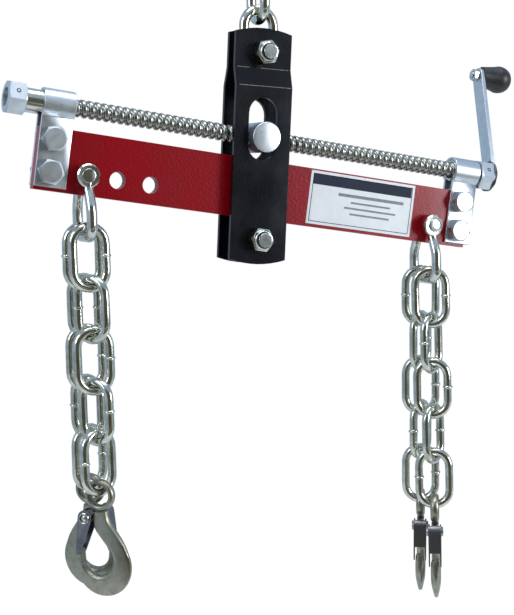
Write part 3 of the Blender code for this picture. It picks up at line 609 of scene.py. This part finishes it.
def make_bow(side):
    """A shackle's bent wire and its two eyes."""
    body = "shackle_" + side
    place = Matrix.Translation(joint_place(f"shackle_{side}_swing"))
    points = bow_points()
    bm = bmesh.new()
    rings = []
    for i, point in enumerate(points):
        tangent = (points[min(i + 1, len(points) - 1)] - points[max(i - 1, 0)]).normalized()
        rings.append(wire_ring(bm, point, tangent, Vector((1, 0, 0)), SHACKLE_WIRE / 2, WIRE_SIDES))
    skin(bm, rings)
    close_ends(bm, rings)
    add_piece(f"shackle_{side}_bow", bm, place, BRIGHT_ZINC, body, ("shackle_" + side,), 60)
    for row, sign in (("front", -1), ("rear", 1)):
        ring = turned([(0.0078, -0.0052), (0.0110, -0.0055), (0.0124, -0.0042), (0.0127, 0.0),
                       (0.0124, 0.0042), (0.0110, 0.0055), (0.0078, 0.0052), (0.0078, -0.0052)], 36)
        eye_place = place @ Matrix.Translation((0, sign * SHACKLE_EYE_OUT, 0)) @ TO_FRONT
        add_piece(f"shackle_{side}_{row}_eye", ring, eye_place, BRIGHT_ZINC, body, (), 40)


def make_shackle_pin(side):
    """The pin, its plain end at the front and its collared head at the rear."""
    front_end = rounded(0.0075, -0.0218, -0.0103, 0.0009)[:-1]
    shaft = [(PIN_RADIUS, -0.0102), (PIN_RADIUS, 0.0212), (PIN_RADIUS, 0.0213)]
    head = [(0.0092, 0.0213), (0.0095, 0.0218), (0.0095, 0.0274), (0.0086, 0.0282), (0.0, 0.0282)]
    place = Matrix.Translation(joint_place(f"shackle_{side}_swing")) @ TO_REAR
    add_piece(f"shackle_{side}_pin", turned(front_end + shaft + head, 28), place, BRIGHT_ZINC,
              "shackle_" + side, ("shackle_pin_" + side,), 40)


# ---------------------------------------------------------------- nuts, bolts, screw

def shrink_cap(bm, face, radius, level):
    """A round face of the given radius set into a cap, at the given level."""
    bmesh.ops.inset_individual(bm, faces=[face], thickness=INSET)
    for vert in face.verts:
        a = atan2(vert.co.y, vert.co.x)
        vert.co = Vector((radius * cos(a), radius * sin(a), level))


def hexagon(across, height, chamfer_at, bottom=True, bore=0.0, turn=0.0):
    """A nut or a bolt head from z 0 to height, with turned chamfers on its corners."""
    bm = bmesh.new()
    bmesh.ops.create_cone(bm, cap_ends=True, segments=HEXAGON_POINTS, radius1=1, radius2=1, depth=height)
    bmesh.ops.translate(bm, vec=(0, 0, height / 2), verts=bm.verts)
    chamfer_radius = across / 2 * chamfer_at
    for vert in bm.verts:
        a = atan2(vert.co.y, vert.co.x)
        sector = (a - turn) % (pi / 3) - pi / 6
        radius = across / 2 / cos(sector)
        drop = max(0.0, (radius - chamfer_radius) * tan(CHAMFER_ANGLE))
        if vert.co.z > height / 2:
            vert.co.z -= drop
        elif bottom:
            vert.co.z += drop
        vert.co.x = radius * cos(a)
        vert.co.y = radius * sin(a)
    for face in [face for face in bm.faces if len(face.verts) > 4]:
        level = height if face.calc_center_median().z > height / 2 else 0.0
        shrink_cap(bm, face, chamfer_radius, level)
        if bore:
            shrink_cap(bm, face, bore, level)
    if bore:
        rims = [face for face in bm.faces if len(face.verts) > 4]
        bmesh.ops.bridge_loops(bm, edges=[edge for face in rims for edge in face.edges])
        bmesh.ops.delete(bm, geom=rims, context="FACES_ONLY")
    return bm


def sleeve_profile(bore, radius, low, high, edge):
    """The closed profile of a bored cylinder whose outer rims are chamfered by edge."""
    return [(bore, low), (radius - edge, low), (radius, low + edge), (radius, high - edge),
            (radius - edge, high), (bore, high), (bore, low)]


def make_strap_bolts():
    """Bolt heads in front, nuts and bolt ends behind."""
    for node in [name for name in NODES if name.startswith("strap_bolt_")]:
        middle = middle_of(node)
        turn = radians(8 if "upper" in node else -6)
        place = BEAM.copy()
        place.translation = Vector((middle.x, 0, middle.z))
        front = place @ Matrix.Translation((0, -STRAP_BOLT_FACE, 0)) @ TO_FRONT
        back = place @ Matrix.Translation((0, STRAP_BOLT_FACE, 0)) @ TO_REAR
        head = hexagon(BOLT_FLATS, STRAP_BOLT_HEAD, HEAD_CHAMFER, bottom=False, turn=turn)
        add_piece(node + "_head", head, front, SHEET_ZINC, "beam", (node,), 14)
        nut = hexagon(BOLT_FLATS, STRAP_NUT_HEIGHT, NUT_CHAMFER, turn=turn + BACK_NUT_TURN)
        add_piece(node + "_back_nut", nut, back, BRIGHT_ZINC, "beam", (), 14)
        stud = turned(rounded(0.0077, 0.004, STRAP_BOLT_HEAD, 0.0008), 28)
        add_piece(node + "_stud", stud, back, BRIGHT_ZINC, "beam", (), 40)


def make_lock_nut(level, face, turn):
    """Lock nut, its nylon ring, and the bolt's end standing in it."""
    middle = middle_of(level + "_nut")
    place = HANGER.copy()
    place.translation = Vector((middle.x, -face, middle.z))
    place = place @ TO_FRONT
    nut = hexagon(BOLT_FLATS, 0.0118, NUT_CHAMFER, turn=turn)
    add_piece(level + "_nut_hex", nut, place, BRIGHT_ZINC, "hanger", (level + "_nut",), 14)
    collar = turned([(0.0088, 0.0108), (0.0112, 0.0112), (0.0111, 0.0135), (0.0106, 0.0152), (0.0097, 0.0162),
                     (0.0090, 0.0163), (0.0086, 0.0156), (0.0086, 0.0112), (0.0088, 0.0108)], 44)
    add_piece(level + "_nut_collar", collar, place, BRIGHT_ZINC, "hanger", (), 40)
    ring = turned([(0.0070, 0.0112), (0.0086, 0.0112), (0.0086, 0.0150), (0.0070, 0.0152),
                   (0.0070, 0.0112)], 36)
    add_piece(level + "_nut_ring", ring, place, NYLON, "hanger", (), 40)
    end = turned([(0.0, 0.010), (0.0072, 0.010), (0.0072, 0.0156), (0.0066, 0.0168), (0.0050, 0.0174),
                  (0.0025, 0.0176), (0.0, 0.0177)], 36)
    add_piece(level + "_bolt_end", end, place, BRIGHT_ZINC, "hanger", (), 30)


def make_hanger_bolts():
    make_lock_nut("top", TOP_PLATE_FACE, radians(12))
    make_lock_nut("bottom", LOW_PLATE_FACE, radians(-6))
    for level in ("top", "bottom"):
        softened(level + "_bolt", "hanger", BRIGHT_ZINC, 0.0006, 2, 40)


def make_trunnion():
    """The cross rod in the plates' slots."""
    bm = turned(rounded(TRUNNION_RADIUS, -TRUNNION_HALF, TRUNNION_HALF, 0.0012), 48)
    add_piece("trunnion_face", bm, BEAM @ TO_FRONT, SHEET_ZINC, "trunnion",
              ("trunnion_nut",), 40)


def make_thread():
    """One pitch of rounded thread wound along the screw, cut square and capped."""
    start, end = span_along_screw("lead_screw")
    turns = int((end - start) / THREAD_PITCH) + 3
    depth = SCREW_RADIUS - THREAD_ROOT
    shape = [(0.0, 0.0), (0.05, 0.10), (0.10, 0.42), (0.18, 0.74), (0.30, 0.95), (0.46, 1.0), (0.62, 0.95),
             (0.74, 0.74), (0.82, 0.42), (0.87, 0.10), (0.92, 0.0), (1.0, 0.0)]
    profile = [(x, THREAD_ROOT + depth * rise) for x, rise in shape]
    bm = bmesh.new()
    verts = [bm.verts.new((x * THREAD_PITCH, 0, radius)) for x, radius in profile]
    edges = [bm.edges.new(pair) for pair in zip(verts, verts[1:])]
    bmesh.ops.spin(bm, geom=verts + edges, cent=(0, 0, 0), axis=(1, 0, 0), angle=2 * pi * turns,
                   dvec=(THREAD_PITCH / THREAD_STEPS, 0, 0), steps=THREAD_STEPS * turns, use_merge=False)
    bmesh.ops.remove_doubles(bm, verts=bm.verts, dist=THREAD_MERGE)
    bmesh.ops.translate(bm, vec=(start - 1.5 * THREAD_PITCH, 0, 0), verts=bm.verts)
    for plane, side in ((start + SCREW_RECESS, -1), (end, 1)):
        cut = bmesh.ops.bisect_plane(bm, geom=bm.verts[:] + bm.edges[:] + bm.faces[:], plane_co=(plane, 0, 0),
                                     plane_no=(side, 0, 0), clear_outer=True)
        rim = [item for item in cut["geom_cut"] if isinstance(item, bmesh.types.BMEdge)]
        bmesh.ops.edgeloop_fill(bm, edges=rim)
    add_piece("thread", bm, BEAM, THREAD_ZINC, "crank", ("lead_screw",), 50)


def make_screw_nuts():
    """End nut and crank hub, chamfered, with their roll pins."""
    for node, pin_node in (("end_nut", "end_nut_pin"), ("crank_hub", "hub_pin")):
        start, end = span_along_screw(node)
        bore = SCREW_RADIUS + 0.0002
        nut = hexagon(SCREW_NUT_FLATS, end - start, PLAIN_NUT_CHAMFER, bore=bore, turn=-HEX_TURN)
        place = BEAM @ Matrix.Translation((start, 0, 0)) @ ALONG_X
        add_piece(node + "_hex", nut, place, SHEET_ZINC, "crank", (node,), 14)
        pin = turned(sleeve_profile(0.0014, 0.0025, -0.0163, 0.0163, 0.0003), 20)
        direction = Vector((0, -cos(HEX_TURN), sin(HEX_TURN)))
        turn = direction.to_track_quat("Z", "Y").to_matrix().to_4x4()
        place = BEAM @ Matrix.Translation(((start + end) / 2, 0, 0)) @ turn
        add_piece(pin_node + "_tube", pin, place, DARK_STEEL, "crank", (pin_node,), 40)


def make_bushes():
    for side in ("left", "right"):
        node = "bush_" + side
        start, end = span_along_screw(node)
        sleeve = turned(sleeve_profile(SCREW_RADIUS + 0.0003, BUSH_RADIUS, start, end, 0.0008), 40)
        add_piece(node + "_sleeve", sleeve, BEAM @ ALONG_X, BRIGHT_ZINC, "beam", (node,), 30)


# ---------------------------------------------------------------- crank and knob

def make_knob():
    """A turned plastic grip, hollow round its bolt."""
    outside = [(0.0043, 0.0003), (0.0112, 0.0003), (0.0120, 0.0010), (0.0122, 0.0028), (0.0130, 0.008),
               (0.0144, 0.016), (0.0157, 0.0215), (0.0164, 0.0238), (0.0165, 0.0262), (0.0162, 0.0290),
               (0.0155, 0.0318), (0.0143, 0.0345), (0.0126, 0.0370), (0.0104, 0.0388), (0.0078, 0.0397),
               (0.0, 0.0400)]
    hollow = [(0.0, 0.030), (0.0043, 0.0283), (0.0043, 0.0003)]
    place = BEAM.copy()
    place.translation = joint_place("knob_spin")
    add_piece("knob_grip", turned(outside + hollow, 56), place @ ALONG_X, BLACK_PLASTIC, "knob",
              ("knob",), 40)


def make_knob_nut():
    start, end = span_along_screw("knob_nut")
    place = BEAM.copy()
    place.translation = middle_of("knob_nut")
    place = place @ ALONG_X @ Matrix.Translation((0, 0, (start - end) / 2))
    nut = hexagon(KNOB_NUT_FLATS, end - start, PLAIN_NUT_CHAMFER, bore=0.0042)
    add_piece("knob_nut_hex", nut, place, BRIGHT_ZINC, "crank", ("knob_nut",), 30)


def make_hub_weld():
    """An uneven bead where the arm meets the hub."""
    hub_end = span_along_screw("crank_hub")[1]
    points = []
    for i in range(48):
        a = 2 * pi * i / 48
        wobble = 1 + 0.02 * sin(9 * a)
        points.append(Vector((WELD_RADIUS * wobble * cos(a), 0, WELD_RADIUS * wobble * sin(a))))
    place = BEAM @ Matrix.Translation((hub_end, 0, 0)) @ Matrix.Rotation(pi / 2, 4, "Z")
    add_piece("hub_weld", tube(points, 0.0016, sides=8), place, DARK_STEEL, "crank", (), 60)


def make_crank():
    softened("crank_arm", "crank", SHEET_ZINC, 0.0008, 2, 40)
    softened("knob_bolt", "crank", BRIGHT_ZINC, 0.0004, 2, 40)
    make_knob()
    make_knob_nut()
    make_hub_weld()


# ---------------------------------------------------------------- label

def sticker_block(name, x0, x1, z0, z1, level, material):
    """A thin rectangle on the beam's front, in the beam's frame."""
    bm = bmesh.new()
    bmesh.ops.create_cube(bm, size=1.0)
    bmesh.ops.scale(bm, vec=(x1 - x0, STICKER_THICKNESS, z1 - z0), verts=bm.verts)
    bmesh.ops.translate(bm, vec=((x0 + x1) / 2, level, (z0 + z1) / 2), verts=bm.verts)
    add_piece(name, bm, BEAM, material, "beam")


def make_label():
    """A plain sticker: white margin, thin dark frame, dark band on top and grey rules below."""
    left, right = LABEL_LEFT + LABEL_MARGIN, LABEL_RIGHT - LABEL_MARGIN
    foot, top = LABEL_FOOT + LABEL_MARGIN, LABEL_TOP - LABEL_MARGIN
    sticker_block("label_paper", LABEL_LEFT, LABEL_RIGHT, LABEL_FOOT, LABEL_TOP, PAPER_LEVEL, STICKER_WHITE)
    for name, box in (("top", (left, right, top - LABEL_LINE, top)),
                      ("foot", (left, right, foot, foot + LABEL_LINE)),
                      ("left", (left, left + LABEL_LINE, foot, top)),
                      ("right", (right - LABEL_LINE, right, foot, top)),
                      ("band", (left, right - 0.0012, top - 0.0120, top))):
        sticker_block("label_" + name, *box, INK_LEVEL, STICKER_DARK)
    middle = (LABEL_LEFT + LABEL_RIGHT) / 2 + 0.012
    for i, (half, height, z) in enumerate(((0.043, 0.0034, -0.0480), (0.026, 0.0020, -0.0555),
                                           (0.034, 0.0020, -0.0620), (0.026, 0.0020, -0.0685))):
        sticker_block(f"label_rule_{i}", middle - half, middle + half, z - height / 2, z + height / 2,
                      INK_LEVEL, STICKER_GREY)


# ---------------------------------------------------------------- plates, beam, straps

def make_fold_lines():
    """Painted highlight lines where the front plate is bent, standing in for light caught on the folds: left
    end, right end, outward place and level of each.
    """
    lines = ((-0.0305, -0.0165, -0.0115, -0.0168),
             (-0.0030, 0.0305, -0.0115, -0.0168),
             (-0.0300, 0.0320, -0.0180, -0.0365))
    for i, (x0, x1, y, z) in enumerate(lines):
        bm = bmesh.new()
        bmesh.ops.create_cube(bm, size=1.0)
        bmesh.ops.scale(bm, vec=(x1 - x0, 0.0003, 0.0007), verts=bm.verts)
        bmesh.ops.translate(bm, vec=((x0 + x1) / 2, y, z), verts=bm.verts)
        add_piece(f"fold_line_{i}", bm, HANGER, FOLD_HIGHLIGHT, "hanger")


def make_bodywork():
    softened("beam", "beam", RED, 0.0010, 2, 30)
    for node in ("hanger_front_plate", "hanger_back_plate"):
        softened(node, "hanger", BLACK, 0.0007, 2, 40, 30)
    make_fold_lines()
    for node in ("strap_left", "strap_right"):
        softened(node, "beam", SHEET_ZINC, 0.0009, 2, 40, 40)
    softened("roller", "roller", BRIGHT_ZINC, 0.0006, 2, 40)


# ---------------------------------------------------------------- studio

def panel(name, place, size, color, strength):
    """A glowing or dark card round the object, seen in its gloss only."""
    bm = bmesh.new()
    bmesh.ops.create_grid(bm, x_segments=1, y_segments=1, size=0.5)
    bmesh.ops.scale(bm, vec=(*size, 1), verts=bm.verts)
    bmesh.ops.transform(bm, matrix=place, verts=bm.verts)
    mesh = bpy.data.meshes.new(name)
    bm.to_mesh(mesh)
    bm.free()
    material = bpy.data.materials.new(name)
    material.use_nodes = True
    shader = material.node_tree.nodes["Principled BSDF"]
    shader.inputs["Base Color"].default_value = (*color, 1)
    shader.inputs["Roughness"].default_value = 0.9
    shader.inputs["Emission Color"].default_value = (*color, 1)
    shader.inputs["Emission Strength"].default_value = strength
    mesh.materials.append(material)
    obj = bpy.data.objects.new(name, mesh)
    bpy.context.scene.collection.objects.link(obj)
    obj.visible_camera = False
    obj.visible_shadow = False


def area_light(name, location, target, size, power, color=(1, 1, 1)):
    data = bpy.data.lights.new(name, "AREA")
    data.shape = "RECTANGLE"
    data.size, data.size_y = size
    data.energy = power
    data.color = color
    obj = bpy.data.objects.new(name, data)
    obj.location = location
    obj.rotation_euler = (Vector(target) - Vector(location)).to_track_quat("-Z", "Y").to_euler()
    bpy.context.scene.collection.objects.link(obj)


def facing(location, target):
    """A card's place: at location, its face turned to target."""
    turn = (Vector(target) - Vector(location)).to_track_quat("Z", "Y").to_matrix().to_4x4()
    return Matrix.Translation(location) @ turn


def make_world():
    world = bpy.data.worlds.new("studio")
    bpy.context.scene.world = world
    world.use_nodes = True
    tree = world.node_tree
    background = tree.nodes["Background"]
    background.inputs["Color"].default_value = (0.60, 0.78, 1.0, 1)
    background.inputs["Strength"].default_value = 0.70
    white = tree.nodes.new("ShaderNodeBackground")
    white.inputs["Color"].default_value = (1, 1, 1, 1)
    white.inputs["Strength"].default_value = 1.0
    mix = tree.nodes.new("ShaderNodeMixShader")
    path = tree.nodes.new("ShaderNodeLightPath")
    tree.links.new(path.outputs["Is Camera Ray"], mix.inputs["Fac"])
    tree.links.new(background.outputs["Background"], mix.inputs[1])
    tree.links.new(white.outputs["Background"], mix.inputs[2])
    tree.links.new(mix.outputs["Shader"], tree.nodes["World Output"].inputs["Surface"])


def make_floor():
    """A pale floor far below; the camera sees it almost white."""
    bm = bmesh.new()
    bmesh.ops.create_circle(bm, cap_ends=True, segments=64, radius=14.0)
    bmesh.ops.translate(bm, vec=(0, 0, FLOOR_HEIGHT), verts=bm.verts)
    mesh = bpy.data.meshes.new("floor")
    bm.to_mesh(mesh)
    bm.free()
    material = bpy.data.materials.new("floor")
    material.use_nodes = True
    tree = material.node_tree
    shader = tree.nodes["Principled BSDF"]
    shader.inputs["Base Color"].default_value = (0.82, 0.82, 0.80, 1)
    shader.inputs["Roughness"].default_value = 0.8
    glow = tree.nodes.new("ShaderNodeEmission")
    glow.inputs["Color"].default_value = (1, 1, 1, 1)
    glow.inputs["Strength"].default_value = 1.04
    path = tree.nodes.new("ShaderNodeLightPath")
    share = tree.nodes.new("ShaderNodeMath")
    share.operation = "MULTIPLY"
    share.inputs[1].default_value = 0.95
    mix = tree.nodes.new("ShaderNodeMixShader")
    tree.links.new(path.outputs["Is Camera Ray"], share.inputs[0])
    tree.links.new(share.outputs["Value"], mix.inputs["Fac"])
    tree.links.new(shader.outputs["BSDF"], mix.inputs[1])
    tree.links.new(glow.outputs["Emission"], mix.inputs[2])
    tree.links.new(mix.outputs["Shader"], tree.nodes["Material Output"].inputs["Surface"])
    mesh.materials.append(material)
    floor = bpy.data.objects.new("floor", mesh)
    bpy.context.scene.collection.objects.link(floor)


def camera_vectors():
    level = cos(CAMERA_ELEVATION)
    forward = Vector((sin(CAMERA_AZIMUTH) * level, cos(CAMERA_AZIMUTH) * level, sin(CAMERA_ELEVATION)))
    right = Vector((cos(CAMERA_AZIMUTH), -sin(CAMERA_AZIMUTH), 0))
    up = right.cross(forward)
    turned_right = right * cos(CAMERA_ROLL) + up * sin(CAMERA_ROLL)
    turned_up = up * cos(CAMERA_ROLL) - right * sin(CAMERA_ROLL)
    return turned_right, turned_up, forward


def make_camera():
    right, up, forward = camera_vectors()
    data = bpy.data.cameras.new("camera")
    data.sensor_width = SENSOR
    data.lens = PHOTO_FOCAL_PIXELS / max(PHOTO_WIDTH, PHOTO_HEIGHT) * SENSOR
    camera = bpy.data.objects.new("camera", data)
    matrix = Matrix((right, up, -forward)).transposed().to_4x4()
    matrix.translation = TRUNNION + CAMERA_FROM_TRUNNION
    camera.matrix_world = matrix
    bpy.context.scene.collection.objects.link(camera)
    bpy.context.scene.camera = camera


def make_studio():
    centre = TRUNNION + Vector((0, 0, -0.12))
    make_world()
    make_floor()
    make_camera()
    panel("dark_room", facing(centre + Vector((-0.60, -2.3, 0.0)), centre),
          size=(4.0, 2.5), color=(0.080, 0.066, 0.036), strength=0.45)
    panel("dark_ground", facing(centre + Vector((0.0, -0.7, -1.05)), centre),
          size=(2.6, 1.5), color=(0.12, 0.10, 0.055), strength=0.25)
    area_light("left_box", centre + Vector((-2.1, -0.5, 1.1)), centre,
               size=(0.9, 1.3), power=17, color=(0.90, 0.95, 1.0))
    area_light("right_box", centre + Vector((1.75, -1.75, 0.30)), centre + Vector((0.28, 0, 0.1)),
               size=(0.7, 1.1), power=30, color=(0.97, 0.98, 1.0))
    area_light("top_box", centre + Vector((0.1, -0.35, 1.9)), centre, size=(1.7, 0.9), power=24)
    bpy.context.scene.view_settings.view_transform = "Standard"


make_studio()
make_bodywork()
make_top_links()
make_chains()
make_hooks()
for shackle_side in ("left", "right"):
    make_bow(shackle_side)
    make_shackle_pin(shackle_side)
make_strap_bolts()
make_hanger_bolts()
make_trunnion()
make_thread()
make_screw_nuts()
make_bushes()
make_crank()
make_label()
